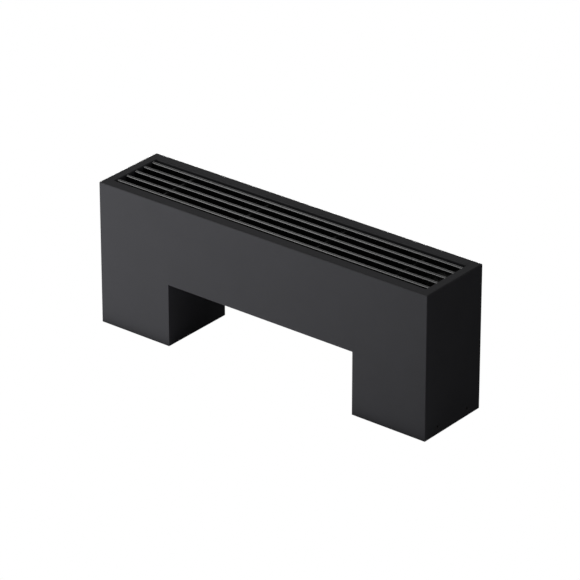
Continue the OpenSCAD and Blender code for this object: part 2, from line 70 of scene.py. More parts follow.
print("CAD box in mm:", [round((b - a) / MM, 1) for a, b in zip(cad_low, cad_high)])

# %% [markdown]
# The photograph was taken from the front right and from above with a very long lens, so the
# long edges hardly run together. Its camera stood level with a lens shifted far down, which
# keeps the uprights parallel. As large a shift would push every other view out of the picture,
# so this camera is tilted down instead. Its place, its turn, its tilt and its lens are those
# that bring the corners of the casing nearest to the corners seen in the photograph.

# %% Camera
SENSOR = 36.0
IMAGE_WIDTH = 580
FOCAL_PIXELS = 4014
CAMERA_TURN = radians(38.54)
CAMERA_TILT = radians(26.58)
CAMERA_PLACE = (3.2405, -4.0608, 2.7197)

camera_data = bpy.data.cameras.new("camera")
camera = bpy.data.objects.new("camera", camera_data)
scene.collection.objects.link(camera)
camera_data.sensor_width = SENSOR
camera_data.lens = FOCAL_PIXELS / IMAGE_WIDTH * SENSOR
camera_data.clip_start, camera_data.clip_end = 0.1, 100
sight = Vector((
    -sin(CAMERA_TURN) * cos(CAMERA_TILT),
    cos(CAMERA_TURN) * cos(CAMERA_TILT),
    -sin(CAMERA_TILT),
))
camera.location = CAMERA_PLACE
camera.rotation_euler = sight.to_track_quat("-Z", "Y").to_euler()
scene.camera = camera
print("lens in mm:", round(camera_data.lens, 1))
print("distance in m:", round(camera.location.length, 2))

# %% [markdown]
# A finish is a small tree of nodes. Adding and joining them one call at a time would fill
# pages, so two helpers keep the trees short to write. A Wire is the output of a node, and sums
# of Wires add Math nodes by themselves. A Board is a tree, for a finish or for Geometry Nodes,
# and adds any other node from its type, settings and inputs.

# %% Wires and boards
class Wire:
    """One output of a node, which can be used in a sum."""

    def __init__(self, board, socket):
        self.board, self.socket = board, socket

    def math(self, operation, *others, clamp=False):
        settings = {"operation": operation, "use_clamp": clamp}
        return self.board.node("ShaderNodeMath", settings, dict(enumerate((self, *others))))

    def __add__(self, other):
        return self.math("ADD", other)

    __radd__ = __add__

    def __mul__(self, other):
        return self.math("MULTIPLY", other)

    __rmul__ = __mul__

    def __sub__(self, other):
        return self.math("SUBTRACT", other)

    def __rsub__(self, other):
        return (self * -1) + other

    def __truediv__(self, other):
        return self.math("DIVIDE", other)

    def __rtruediv__(self, other):
        return self.math("POWER", -1) * other


class Board:
    """A node tree whose nodes are added by type, settings and inputs."""

    def __init__(self, tree):
        self.tree = tree

    def connect(self, socket, value):
        if isinstance(value, Wire):
            self.tree.links.new(value.socket, socket)
        elif isinstance(value, list):
            for wire in value:
                self.tree.links.new(wire.socket, socket)
        else:
            socket.default_value = value

    def node(self, kind, settings=None, inputs=None, output=0):
        made = self.tree.nodes.new(kind)
        for name, value in (settings or {}).items():
            if name == "stops":
                stops = made.color_ramp.elements
                while len(stops) < len(value):
                    stops.new(1)
                for stop, (place, colour) in zip(stops, value):
                    stop.position, stop.color = place, colour
            else:
                setattr(made, name, value)
        for name, value in (inputs or {}).items():
            self.connect(made.inputs[name], value)
        return Wire(self, made.outputs[output])


# %% [markdown]
# Every finish ends in one Principled shader. What is the same all over is set on the shader
# itself, and noise in the piece's own coordinates varies the colour, the roughness and the
# relief, at the scale that the real surface has.

# %% A finish
class Finish(Board):
    """A material made of one Principled shader and what varies over it."""

    def __init__(self, name, **constants):
        self.material = bpy.data.materials.new(name)
        self.material.use_nodes = True
        super().__init__(self.material.node_tree)
        self.tree.nodes.clear()
        self.shader = self.tree.nodes.new("ShaderNodeBsdfPrincipled")
        end = self.tree.nodes.new("ShaderNodeOutputMaterial")
        self.tree.links.new(self.shader.outputs[0], end.inputs["Surface"])
        self.place = self.node("ShaderNodeTexCoord", output=3)
        for name, value in constants.items():
            self.set(name.title(), value)

    def set(self, name, value):
        self.connect(self.shader.inputs[name], value)

    def noise(self, scale, detail=2.0, stretch=(1, 1, 1)):
        at = self.node("ShaderNodeMapping", None, {"Vector": self.place, "Scale": stretch})
        sizes = {"Vector": at, "Scale": scale, "Detail": detail}
        return self.node("ShaderNodeTexNoise", None, sizes)

    def mixed(self, share, colour_a, colour_b):
        made = self.tree.nodes.new("ShaderNodeMix")
        made.data_type = "RGBA"
        values = {"Factor_Float": share, "A_Color": colour_a, "B_Color": colour_b}
        for name, value in values.items():
            socket = next(s for s in made.inputs if s.identifier == name)
            self.connect(socket, value)
        out = next(s for s in made.outputs if s.identifier == "Result_Color")
        return Wire(self, out)

    def relief(self, height, depth):
        """Height from 0 to 1 raises the surface by depth, in metres."""
        bump = self.node("ShaderNodeBump", None, {"Height": height, "Distance": depth})
        self.set("Normal", bump)


def grey(level, blue=1.0):
    """A grey, with its blue a little stronger or weaker."""
    return (level, level, level * blue, 1)


# %% [markdown]
# The casing is powder coated: fine grains melt into a black skin with a slight texture and a
# satin sheen. A picture of such a skin would repeat itself and blur close up. Noise does
# neither, so two layers of it give the relief, one for the grains and one for the slow waves
# that a thick coat has.

# %% Powder coat
coat = Finish("black_powder_coat")
grains = coat.noise(1400, 3)
waves = coat.noise(90, 2)
coat.set("Base Color", coat.mixed(coat.noise(25), grey(0.026, 1.12), grey(0.034, 1.12)))
coat.set("Roughness", grains * 0.12 + 0.46)
coat.relief(grains * 0.8 + waves * 0.6, 0.05 * MM)
print(coat.material.name, "nodes:", len(coat.tree.nodes))

# %% [markdown]
# The bars of the grille are extruded aluminium, anodised black. Paint would show the light
# that falls on it from all sides and turn grey. The dyed oxide lets the metal shine through,
# so this finish is a dark metal: it mirrors the lamps and stays black between them. Noise that
# is stretched along the bars makes the faint long lines that the extrusion die leaves.

# %% Black anodised aluminium
anodised = Finish("black_anodised", metallic=1.0)
die_lines = anodised.noise(2200, 2, (0.01, 1, 1))
anodised.set("Base Color", anodised.mixed(die_lines, grey(0.16), grey(0.2)))
anodised.set("Roughness", die_lines * 0.12 + 0.18)
anodised.relief(die_lines, 0.006 * MM)
print(anodised.material.name, "nodes:", len(anodised.tree.nodes))

# %% [markdown]
# The brackets and plates inside are galvanised sheet. Zinc freezes on the steel in flat
# crystals a few millimetres wide, each a little lighter or darker than the next. Noise gives
# clouds without edges, so Voronoi cells make the crystals, and noise only dulls them.

# %% Galvanised steel
zinc = Finish("galvanised_steel", metallic=1.0)
spangle = zinc.node(
    "ShaderNodeTexVoronoi", {"feature": "F1"}, {"Vector": zinc.place, "Scale": 230.0}, 1
)
crystal = zinc.node("ShaderNodeSeparateColor", None, {0: spangle})
zinc.set("Base Color", zinc.mixed(crystal, (0.53, 0.55, 0.57, 1), (0.64, 0.66, 0.68, 1)))
zinc.set("Roughness", crystal * 0.12 + zinc.noise(60) * 0.1 + 0.32)
zinc.relief(zinc.noise(500, 3), 0.01 * MM)
print(zinc.material.name, "nodes:", len(zinc.tree.nodes))

# %% [markdown]
# The other finishes are plain metals, rubber and plastics. Each could have a tree of its own,
# but they follow one pattern with their own numbers: a colour that wanders between two shades,
# a roughness that wanders with it, and a relief of the right grain.

# %% The other finishes
def wandering(name, shade_a, shade_b, rough, rough_range, patch, grain, depth, **constants):
    """A finish whose colour and roughness wander in patches, with a fine grain."""
    finish = Finish(name, **constants)
    patches = finish.noise(patch, 3)
    share = finish.node(
        "ShaderNodeValToRGB", {"stops": [(0.35, grey(0)), (0.68, grey(1))]}, {"Fac": patches}
    )
    finish.set("Base Color", finish.mixed(share, shade_a, shade_b))
    finish.set("Roughness", patches * rough_range + rough)
    finish.relief(finish.noise(grain, 3), depth)
    return finish


screw_black = wandering(
    "black_oxide", grey(0.026), grey(0.036, 1.1), 0.38, 0.16, 500, 2500, 0.005 * MM
)
rubber = wandering(
    "black_rubber", grey(0.014), grey(0.022), 0.7, 0.2, 300, 1800, 0.02 * MM
)
fin_metal = wandering(
    "mill_aluminium", grey(0.72, 1.02), grey(0.84, 1.01), 0.2, 0.2, 120, 1500, 0.004 * MM,
    metallic=1.0,
)
copper = wandering(
    "dulled_copper", (0.62, 0.30, 0.18, 1), (0.40, 0.17, 0.10, 1), 0.2, 0.3, 45, 900, 0.006 * MM,
    metallic=1.0,
)
cast_brass = wandering(
    "cast_brass", (0.56, 0.40, 0.17, 1), (0.45, 0.30, 0.12, 1), 0.36, 0.2, 90, 1300, 0.06 * MM,
    metallic=1.0,
)
turned_brass = wandering(
    "turned_brass", (0.68, 0.50, 0.22, 1), (0.60, 0.42, 0.18, 1), 0.16, 0.2, 200, 3000,
    0.004 * MM, metallic=1.0,
)
nickel = wandering(
    "nickel_plate", (0.62, 0.59, 0.53, 1), (0.54, 0.51, 0.46, 1), 0.14, 0.2, 150, 2500,
    0.003 * MM, metallic=1.0,
)
white_plastic = wandering(
    "moulded_white", grey(0.74, 0.98), grey(0.80, 0.98), 0.3, 0.15, 60, 2600, 0.012 * MM
)
bush_plastic = wandering(
    "natural_plastic", (0.62, 0.61, 0.55, 1), (0.70, 0.69, 0.64, 1), 0.38, 0.15, 80, 1600,
    0.012 * MM,
)
others = (
    screw_black, rubber, fin_metal, copper, cast_brass, turned_brass, nickel, white_plastic,
    bush_plastic,
)
print("other finishes:", [finish.material.name for finish in others])

# %% [markdown]
# A modifier changes a mesh by rule: it bevels, cuts or welds it. It could stay on the object,
# but a plain mesh can be cut again, so a helper sends a mesh through one modifier after another
# and keeps the result. Cuts and welds use a second mesh, the tool, which is thrown away
# afterwards. They leave doubled points and slivers behind, and these are cleaned away.

# %% Work on a mesh with modifiers
MICRON = 0.001 * MM


def worked(mesh, *steps):
    """The mesh after modifiers, each given as its kind and its settings."""
    carrier = bpy.data.objects.new(mesh.name, mesh)
    scene.collection.objects.link(carrier)
    for kind, settings in steps:
        modifier = carrier.modifiers.new(kind.lower(), kind)
        for setting, value in settings.items():
            setattr(modifier, setting, value)
    graph = bpy.context.evaluated_depsgraph_get()
    made = bpy.data.meshes.new_from_object(carrier.evaluated_get(graph), depsgraph=graph)
    bpy.data.objects.remove(carrier)
    return made


def clean(shape):
    """Takes doubled points and faces thinner than a micron out of a bmesh."""
    bmesh.ops.remove_doubles(shape, verts=shape.verts, dist=MICRON)
    bmesh.ops.dissolve_degenerate(shape, edges=shape.edges, dist=MICRON)


def cleaned(mesh):
    """The same mesh, cleaned."""
    shape = bmesh.new()
    shape.from_mesh(mesh)
    clean(shape)
    shape.to_mesh(mesh)
    shape.free()
    return mesh


def combined(mesh, tool_mesh, operation):
    """A mesh with the tool cut out of it, welded to it or shared with it."""
    tool = bpy.data.objects.new("tool", tool_mesh)
    scene.collection.objects.link(tool)
    made = worked(
        mesh, ("BOOLEAN", {"operation": operation, "solver": "EXACT", "object": tool})
    )
    bpy.data.objects.remove(tool)
    return cleaned(made)


# %% [markdown]
# No real edge is knife-sharp. Subdivision would round the edges but swell the flat faces too,
# so a narrow Bevel rounds them, and they catch a line of light. Weighted normals then keep the
# flat faces flat to the eye, while the round faces stay smooth.

# %% Soft edges and placing
SMOOTH_ANGLE = radians(35)


def softened(mesh, width):
    """The mesh with every edge rounded that is sharper than the smooth angle."""
    return worked(mesh, ("BEVEL", {
        "width": width, "segments": 3, "limit_method": "ANGLE", "angle_limit": SMOOTH_ANGLE,
        "use_clamp_overlap": True, "miter_outer": "MITER_ARC",
    }))


def place_piece(name, mesh, finish, body="casing", nodes=()):
    """Places a piece with its finish, its body and the CAD nodes that it stands for."""
    mesh.name = name
    mesh.materials.clear()
    mesh.materials.append(finish.material)
    mesh.shade_smooth()
    mesh.set_sharp_from_angle(angle=SMOOTH_ANGLE)
    piece = bpy.data.objects.new(name, mesh)
    scene.collection.objects.link(piece)
    normals = piece.modifiers.new("flat_faces", "WEIGHTED_NORMAL")
    normals.keep_sharp = True
    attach(piece, body)
    if nodes:
        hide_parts(*nodes)
    print(name, "faces:", len(mesh.polygons), "rides on:", body)


# %% [markdown]
# The casing is one skin of sheet steel: its sheets are cut, folded and welded, and the welds
# are ground flush before the coat goes on, so no seam shows. The panels of the CAD model side
# by side would show their seams. So the outer face is drawn anew, as flat sheets without
# thickness that share their corners, with mitres in the rim. Solidify then gives the steel its
# thickness towards the inside.

# %% Sheets of the casing
front_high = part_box("front_panel")[1]
rear_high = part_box("rear_panel")[1]
arch_low, arch_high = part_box("right_leg_inner_panel")
HALF_L, HALF_D, TOP = front_high.x, rear_high.y, front_high.z
ARCH_X, ARCH_Z = arch_low.x, arch_high.z
SHEET = 1.5 * MM
LIP_X = HALF_L - 15 * MM
LIP_Y = HALF_D - 17.5 * MM
LIP_Z = TOP - 10 * MM
RETURN_Y = HALF_D - 20 * MM

shape = bmesh.new()
corners = {}


def sheet(*places):
    """A flat sheet through its corners, which it shares with the sheets beside it."""
    for place in places:
        if place not in corners:
            corners[place] = shape.verts.new(place)
    shape.faces.new([corners[place] for place in places])


for side in (-1, 1):
    # long wall round the arch, edge folded in over the arch, rim and lip of the opening
    y, lip_y, return_y = side * HALF_D, side * LIP_Y, side * RETURN_Y
    sheet(
        (-HALF_L, y, 0), (-ARCH_X, y, 0), (-ARCH_X, y, ARCH_Z), (ARCH_X, y, ARCH_Z),
        (ARCH_X, y, 0), (HALF_L, y, 0), (HALF_L, y, TOP), (-HALF_L, y, TOP),
    )
    sheet(
        (-ARCH_X, y, ARCH_Z), (ARCH_X, y, ARCH_Z),
        (ARCH_X, return_y, ARCH_Z), (-ARCH_X, return_y, ARCH_Z),
    )
    sheet((-HALF_L, y, TOP), (HALF_L, y, TOP), (LIP_X, lip_y, TOP), (-LIP_X, lip_y, TOP))
    sheet(
        (-LIP_X, lip_y, TOP), (LIP_X, lip_y, TOP), (LIP_X, lip_y, LIP_Z), (-LIP_X, lip_y, LIP_Z)
    )
    # end wall, its rim and lip, inner wall of the leg
    x, lip_x, arch_x = side * HALF_L, side * LIP_X, side * ARCH_X
    sheet((x, -HALF_D, 0), (x, HALF_D, 0), (x, HALF_D, TOP), (x, -HALF_D, TOP))
    sheet((x, -HALF_D, TOP), (x, HALF_D, TOP), (lip_x, LIP_Y, TOP), (lip_x, -LIP_Y, TOP))
    sheet(
        (lip_x, -LIP_Y, TOP), (lip_x, LIP_Y, TOP), (lip_x, LIP_Y, LIP_Z), (lip_x, -LIP_Y, LIP_Z)
    )
    sheet(
        (arch_x, -HALF_D, 0), (arch_x, HALF_D, 0), (arch_x, HALF_D, ARCH_Z),
        (arch_x, RETURN_Y, ARCH_Z), (arch_x, -RETURN_Y, ARCH_Z), (arch_x, -HALF_D, ARCH_Z),
    )
bmesh.ops.recalc_face_normals(shape, faces=shape.faces)
widest = max(shape.faces, key=lambda face: face.calc_area())
if widest.normal.dot(widest.calc_center_median()) < 0:
    bmesh.ops.reverse_faces(shape, faces=shape.faces)
outer_face = bpy.data.meshes.new("outer_face")
shape.to_mesh(outer_face)
shape.free()
thick = worked(outer_face, ("SOLIDIFY", {
    "thickness": SHEET, "offset": -1, "solidify_mode": "NON_MANIFOLD",
    "nonmanifold_thickness_mode": "CONSTRAINTS",
}))
print("sheets:", len(outer_face.polygons), "faces with thickness:", len(thick.polygons))

# %% [markdown]
# Solidify leaves the outer face a hundredth of a millimetre proud, so every corner is first
# set back to whole tenths. A fold is round outside and nearly sharp inside. A ground weld is a
# little round, and a cut edge is only broken. Each edge of the skin gets its radius as a bevel
# weight, and one Bevel rounds them all.

# %% Rounded edges of the casing
FOLD_OUT = 2 * MM
FOLD_IN = 0.5 * MM
GROUND = 0.8 * MM
BROKEN = 0.3 * MM
TENTH = 0.1 * MM


def edge_radius(edge):
    """Radius of an edge of the casing, from where the edge lies."""
    x, y, z = (abs(c) for c in (edge.verts[0].co + edge.verts[1].co) / 2)

    def at(a, b):
        return abs(a - b) < TENTH

    if edge.calc_face_angle() < SMOOTH_ANGLE:
        return 0
    if at(z, TOP) or (at(z, ARCH_Z) and at(y, HALF_D)):
        return FOLD_OUT
    if at(z, TOP - SHEET) or (at(z, ARCH_Z + SHEET) and at(y, HALF_D - SHEET)):
        return FOLD_IN
    return GROUND if at(x, HALF_L) and at(y, HALF_D) else BROKEN


shape = bmesh.new()
shape.from_mesh(thick)
set_back = 0
for vertex in shape.verts:
    whole = Vector([round(c / TENTH) * TENTH for c in vertex.co])
    set_back = max(set_back, (whole - vertex.co).length)
    vertex.co = whole
print("corners set back in mm, at most:", round(set_back / MM, 4))
weights = shape.edges.layers.float.new("bevel_weight_edge")
for edge in shape.edges:
    edge[weights] = edge_radius(edge) / FOLD_OUT
print("edges that are not closed:", sum(not edge.is_manifold for edge in shape.edges))
shape.to_mesh(thick)
shape.free()
casing_mesh = worked(thick, ("BEVEL", {
    "width": FOLD_OUT, "segments": 4, "limit_method": "WEIGHT", "use_clamp_overlap": False,
}))

# %% [markdown]
# Turned parts and round holes are drawn as half a section and spun round their axis, as on
# a lathe. A Screw modifier could do it as well, but spinning in bmesh needs no object. The
# section goes once round the steel, and points on the axis close the ends.

# %% Turning on a lathe
def arc(centre, radius, start, end, steps=6):
    """Points of an arc in a section, with angles in degrees."""
    angles = [radians(start + (end - start) * i / steps) for i in range(steps + 1)]
    return [(centre[0] + radius * cos(a), centre[1] + radius * sin(a)) for a in angles]


def turned(name, section, steps=64):
    """A mesh spun from (radius, height) points round the upward axis."""
    shape = bmesh.new()
    corners = [shape.verts.new((max(r, 0), 0, z)) for r, z in section]
    edges = [shape.edges.new((a, b)) for a, b in zip(corners, corners[1:] + corners[:1])
             if a.co.x > 0 or b.co.x > 0]
    bmesh.ops.spin(
        shape, geom=corners + edges, axis=(0, 0, 1), cent=(0, 0, 0), steps=steps,
        angle=2 * pi, use_duplicate=False,
    )
    clean(shape)
    bmesh.ops.recalc_face_normals(shape, faces=shape.faces)
    mesh = bpy.data.meshes.new(name)
    shape.to_mesh(mesh)
    shape.free()
    return mesh


def copies(mesh, places):
    """One mesh with a copy of the given mesh at each place, given as a matrix."""
    shape = bmesh.new()
    for place in places:
        start = len(shape.verts)
        shape.from_mesh(mesh)
        shape.verts.ensure_lookup_table()
        bmesh.ops.transform(shape, matrix=place, verts=shape.verts[start:])
    made = bpy.data.meshes.new(mesh.name)
    shape.to_mesh(made)
    shape.free()
    return made


# %% [markdown]
# The foot of each end wall has two dimples for countersunk screws. A press pushes the sheet
# in round a hole, which raises a cone on its back. So a cone is welded to the back first,
# and the dimple is then cut out of both.

# %% Screw dimples
screw_low, screw_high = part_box("casing_screws")
SCREW_RECESS = 0.3 * MM
SCREW_PLAY = 0.05 * MM
HEAD_R = (screw_high.z - screw_low.z) / 2
SCREW_Y = screw_high.y - HEAD_R
SCREW_Z = (screw_high.z + screw_low.z) / 2
DIMPLE_R = HEAD_R + SCREW_RECESS + SCREW_PLAY
DIMPLE_REACH = 3.4 * MM
HOLE_R = 2.75 * MM
OVERRUN = 1 * MM

boss = turned("boss", [
    (0, SHEET / 2), (DIMPLE_R + SHEET / 2, SHEET / 2), (HOLE_R + SHEET, DIMPLE_REACH),
    (0, DIMPLE_REACH),
])
dimple = turned("dimple", [
    (0, -OVERRUN), (DIMPLE_R + OVERRUN, -OVERRUN), (HOLE_R, DIMPLE_R - HOLE_R),
    (HOLE_R, DIMPLE_REACH + OVERRUN), (0, DIMPLE_REACH + OVERRUN),
])
screw_places = [
    Matrix.Translation((end * HALF_L, side * SCREW_Y, SCREW_Z))
    @ Matrix.Rotation(-end * pi / 2, 4, "Y")
    for end in (-1, 1) for side in (-1, 1)
]
casing_mesh = combined(casing_mesh, copies(boss, screw_places), "UNION")
casing_mesh = combined(casing_mesh, copies(dimple, screw_places), "DIFFERENCE")
CASING_PANELS = (
    "front_panel", "rear_panel", "left_end_panel", "right_end_panel",
    "left_leg_inner_panel", "right_leg_inner_panel",
)
place_piece("welded_casing", casing_mesh, coat, nodes=CASING_PANELS)

# %% [markdown]
# What repeats could be copied in a loop, but then its count and its pitch are hidden in the
# loop. Geometry Nodes keep them as named inputs of a tree. A Growth is such a tree: once its
# sizes are set, an object carries it for a moment, and the result is kept as a plain mesh.

# %% Growing a shape from a tree
SOCKETS = {
    float: "NodeSocketFloat", int: "NodeSocketInt",
    bpy.types.Material: "NodeSocketMaterial", bpy.types.Object: "NodeSocketObject",
}


class Growth(Board):
    """A Geometry Nodes tree with named inputs and one mesh as its result."""

    def __init__(self, name, **sizes):
        super().__init__(bpy.data.node_groups.new(name, "GeometryNodeTree"))
        self.sizes = sizes
        for label, value in sizes.items():
            self.tree.interface.new_socket(
                name=label, in_out="INPUT", socket_type=SOCKETS[type(value)]
            )
        self.tree.interface.new_socket(
            name="Geometry", in_out="OUTPUT", socket_type="NodeSocketGeometry"
        )
        self.entry = self.tree.nodes.new("NodeGroupInput")

    def __getitem__(self, label):
        return Wire(self, self.entry.outputs[label])

    def point(self, x=0.0, y=0.0, z=0.0):
        return self.node("ShaderNodeCombineXYZ", None, {0: x, 1: y, 2: z})

    def join(self, *wires):
        return self.node("GeometryNodeJoinGeometry", None, {0: list(wires)})

    def moved(self, wire, x=0.0, y=0.0, z=0.0, turn=(0, 0, 0)):
        inputs = {"Geometry": wire, "Translation": self.point(x, y, z), "Rotation": turn}
        return self.node("GeometryNodeTransform", None, inputs)

    def coordinate(self, axis):
        """The x, y or z of every point, for axis 0, 1 or 2."""
        place = self.node("GeometryNodeInputPosition")
        return self.node("ShaderNodeSeparateXYZ", None, {0: place}, axis)

    def tube(self, radius, depth, vertices=24):
        inputs = {"Vertices": vertices, "Radius": radius, "Depth": depth}
        return self.node("GeometryNodeMeshCylinder", None, inputs)

    def row(self, shape, count, x=0.0, y=0.0, z=0.0):
        """The shape again and again, centred on the origin, a step apart."""
        back = (count - 1) * -0.5
        line = self.node("GeometryNodeMeshLine", None, {
            "Count": count,
            "Start Location": self.point(*(step * back for step in (x, y, z))),
            "Offset": self.point(x, y, z),
        })
        inputs = {"Points": line, "Instance": shape}
        return self.node("GeometryNodeInstanceOnPoints", None, inputs)

    def grow(self, wire):
        """The plain mesh that the tree makes with its sizes."""
        solid = self.node("GeometryNodeRealizeInstances", None, {0: wire})
        end = self.tree.nodes.new("NodeGroupOutput")
        painted = self.node(
            "GeometryNodeSetMaterial", None, {"Geometry": solid, "Material": self["Finish"]}
        )
        self.connect(end.inputs[0], painted)
        carrier = bpy.data.objects.new(self.tree.name, bpy.data.meshes.new(self.tree.name))
        scene.collection.objects.link(carrier)
        modifier = carrier.modifiers.new("growth", "NODES")
        modifier.node_group = self.tree
        for item in self.tree.interface.items_tree:
            if item.in_out == "INPUT":
                modifier[item.identifier] = self.sizes[item.name]
        graph = bpy.context.evaluated_depsgraph_get()
        mesh = bpy.data.meshes.new_from_object(carrier.evaluated_get(graph), depsgraph=graph)
        bpy.data.objects.remove(carrier)
        print(self.tree.name, "faces:", len(mesh.polygons))
        return mesh


# %% [markdown]
# The grille is five bars on four rods, with a spacer on the rod in each gap. The round upper
# edges of the bars matter most, since they draw the bright lines seen in the photograph. A
# Bevel would give every edge one radius, so a bar is a section with its own radius above and
# below, swept along its length. The tree repeats it, threads the rods through and fills the
# gaps with spacers, so another count or pitch needs one number.

# %% Grille
bar_low, bar_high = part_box("grille_bar_1")
next_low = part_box("grille_bar_2")[0]
rod_low, rod_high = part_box("grille_tie_rods")
spacer_low, spacer_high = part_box("grille_spacers")
BARS = 5
RODS = 4
BAR_T = bar_high.y - bar_low.y
BAR_H = bar_high.z - bar_low.z
ROD_STEP = (rod_high.x - rod_low.x - (rod_high.z - rod_low.z)) / (RODS - 1)

grille = Growth(
    "grille_of_bars", Bars=BARS, Pitch=next_low.y - bar_low.y, Length=bar_high.x - bar_low.x,
    Thickness=BAR_T, Height=BAR_H, Top_radius=1.9 * MM, Foot_radius=0.3 * MM,
    Foot=bar_low.z, Rods=RODS, Rod_step=ROD_STEP, Rod_radius=(rod_high.z - rod_low.z) / 2,
    Rod_z=(rod_high.z + rod_low.z) / 2, Spacer_radius=(spacer_high.z - spacer_low.z) / 2,
    Finish=anodised.material,
)
section = grille.node("GeometryNodeCurvePrimitiveQuadrilateral", None, {
    "Width": grille["Thickness"], "Height": grille["Height"],
})
is_top = grille.coordinate(1).math("LESS_THAN", 0.0)      # the section lies upside down
radius = is_top * (grille["Top_radius"] - grille["Foot_radius"]) + grille["Foot_radius"]
section = grille.node("GeometryNodeFilletCurve", {"mode": "POLY"}, {
    "Curve": section, "Count": 8, "Radius": radius, "Limit Radius": True,
})
half = grille["Length"] * 0.5
line = grille.node("GeometryNodeCurvePrimitiveLine", None, {
    "Start": grille.point(half * -1), "End": grille.point(half),
})
bar = grille.node("GeometryNodeCurveToMesh", None, {
    "Curve": line, "Profile Curve": section, "Fill Caps": True,
})
bars = grille.row(grille.moved(bar, z=grille["Foot"] + grille["Height"] * 0.5),
                  grille["Bars"], y=grille["Pitch"])
span = grille["Pitch"] * (grille["Bars"] - 1) + grille["Thickness"]
rod = grille.moved(
    grille.tube(grille["Rod_radius"], span), z=grille["Rod_z"], turn=(pi / 2, 0, 0)
)
gap = grille["Pitch"] - grille["Thickness"]
spacer = grille.moved(
    grille.tube(grille["Spacer_radius"], gap), z=grille["Rod_z"], turn=(pi / 2, 0, 0)
)
spacers = grille.row(spacer, grille["Bars"] - 1, y=grille["Pitch"])
on_rods = grille.row(grille.join(rod, spacers), grille["Rods"], x=grille["Rod_step"])
grille_mesh = grille.grow(grille.join(bars, on_rods))
GRILLE_NODES = [f"grille_bar_{n + 1}" for n in range(BARS)]
GRILLE_NODES += ["grille_tie_rods", "grille_spacers"]
place_piece("bar_grille", grille_mesh, anodised, "grille", GRILLE_NODES)

# %% [markdown]
# The heat exchanger is a stack of thin aluminium fins pressed on to two copper tubes. Each
# fin is rippled, which stiffens it and stirs the air, and its two collars reach almost to the
# next fin and keep its distance. A flat plate would mirror the light like glass, so one fin is
# made from a grid that a sine wave bends, then given its thickness, its collars and its bores,
# and the tree repeats it.

# %% Fins
fin_low, fin_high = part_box("exchanger_fins")
tube_low, tube_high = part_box("front_exchanger_tube")
FIN_PITCH = 5 * MM
FIN_T = 0.4 * MM
TUBE_R = (tube_high.y - tube_low.y) / 2
TUBE_Y = -(tube_high.y + tube_low.y) / 2
TUBE_Z = (tube_high.z + tube_low.z) / 2

fins = Growth(
    "stack_of_fins", Fins=round((fin_high.x - fin_low.x - FIN_T) / FIN_PITCH) + 1,
    Pitch=FIN_PITCH, Thickness=FIN_T, Depth=fin_high.y - fin_low.y,
    Height=fin_high.z - fin_low.z, Ripple=0.45 * MM, Ripple_length=8 * MM, Steps=56,
    Middle=TUBE_Z, Tube_place=TUBE_Y, Bore=TUBE_R + 0.2 * MM, Collar=0.3 * MM, Seam=0.05 * MM,
    Finish=fin_metal.material,
)
sheet = fins.node("GeometryNodeMeshGrid", None, {
    "Size X": fins["Height"], "Size Y": fins["Depth"],
    "Vertices X": 2, "Vertices Y": fins["Steps"],
})
sheet = fins.moved(sheet, turn=(0, pi / 2, 0))
across = fins.coordinate(1)
wave = (across / fins["Ripple_length"] * (2 * pi)).math("SINE") * fins["Ripple"]
sheet = fins.node("GeometryNodeSetPosition", None, {
    "Geometry": sheet, "Offset": fins.point(wave - fins["Thickness"] * 0.5),
})
thick = fins.node("GeometryNodeExtrudeMesh", {"mode": "FACES"}, {
    "Mesh": sheet, "Offset": fins.point(fins["Thickness"]), "Offset Scale": 1.0,
    "Individual": False,
})
back = fins.node("GeometryNodeFlipFaces", None, {0: sheet})
plate = fins.node("GeometryNodeMergeByDistance", None, {
    "Geometry": fins.join(thick, back), "Distance": MICRON,
})


def both_tubes(radius, depth):
    """A solid tube on each of the two places where the copper tubes lie."""
    ring = fins.tube(radius, depth)
    ring = fins.moved(ring, turn=(0, pi / 2, 0))
    return [fins.moved(ring, y=fins["Tube_place"] * side) for side in (-1, 1)]


collars = both_tubes(fins["Bore"] + fins["Collar"], fins["Pitch"] - fins["Seam"])
bores = both_tubes(fins["Bore"], fins["Pitch"] * 2)
fin = fins.node("GeometryNodeMeshBoolean", {"operation": "UNION", "solver": "EXACT"}, {
    "Mesh 2": [plate, *collars],
})
fin = fins.node("GeometryNodeMeshBoolean", {"operation": "DIFFERENCE", "solver": "EXACT"}, {
    "Mesh 1": fin, "Mesh 2": bores,
})
stack = fins.moved(fins.row(fin, fins["Fins"], x=fins["Pitch"]), z=fins["Middle"])
place_piece(
    "fin_stack", fins.grow(stack), fin_metal, nodes=["exchanger_fins"]
)

# %% [markdown]
# Countersunk socket screws hold the casing to the brackets in its legs, and studs with nuts
# hold the uprights. All of them stand in fours: two at one end of the convector and two at
# the other. Each could have a list of its four places, but one tree that takes a fastener and
# a single place sets it in all four.

# %% Fasteners in fours
def in_fours(name, mesh, finish, node, x, y, z):
    """A fastener at (x, y, z), at (x, -y, z) and both again turned to the other end."""
    model = bpy.data.objects.new(name + "_model", mesh)
    scene.collection.objects.link(model)
    fours = Growth(name, Shape=model, End=x, Side=y, Height=z, Finish=finish.material)
    one = fours.node("GeometryNodeObjectInfo", None, {"Object": fours["Shape"]}, 4)
    pair = fours.row(one, 2, y=fours["Side"] * 2)
    here = fours.moved(pair, x=fours["End"], z=fours["Height"])
    there = fours.moved(here, turn=(0, 0, pi))
    made = fours.grow(fours.join(here, there))
    bpy.data.objects.remove(model)
    place_piece(name, made, finish, nodes=[node])


def hexagon_corner(across_flats):
    """Distance from the middle of a hexagon to its corners."""
    return across_flats / 2 / cos(pi / 6)


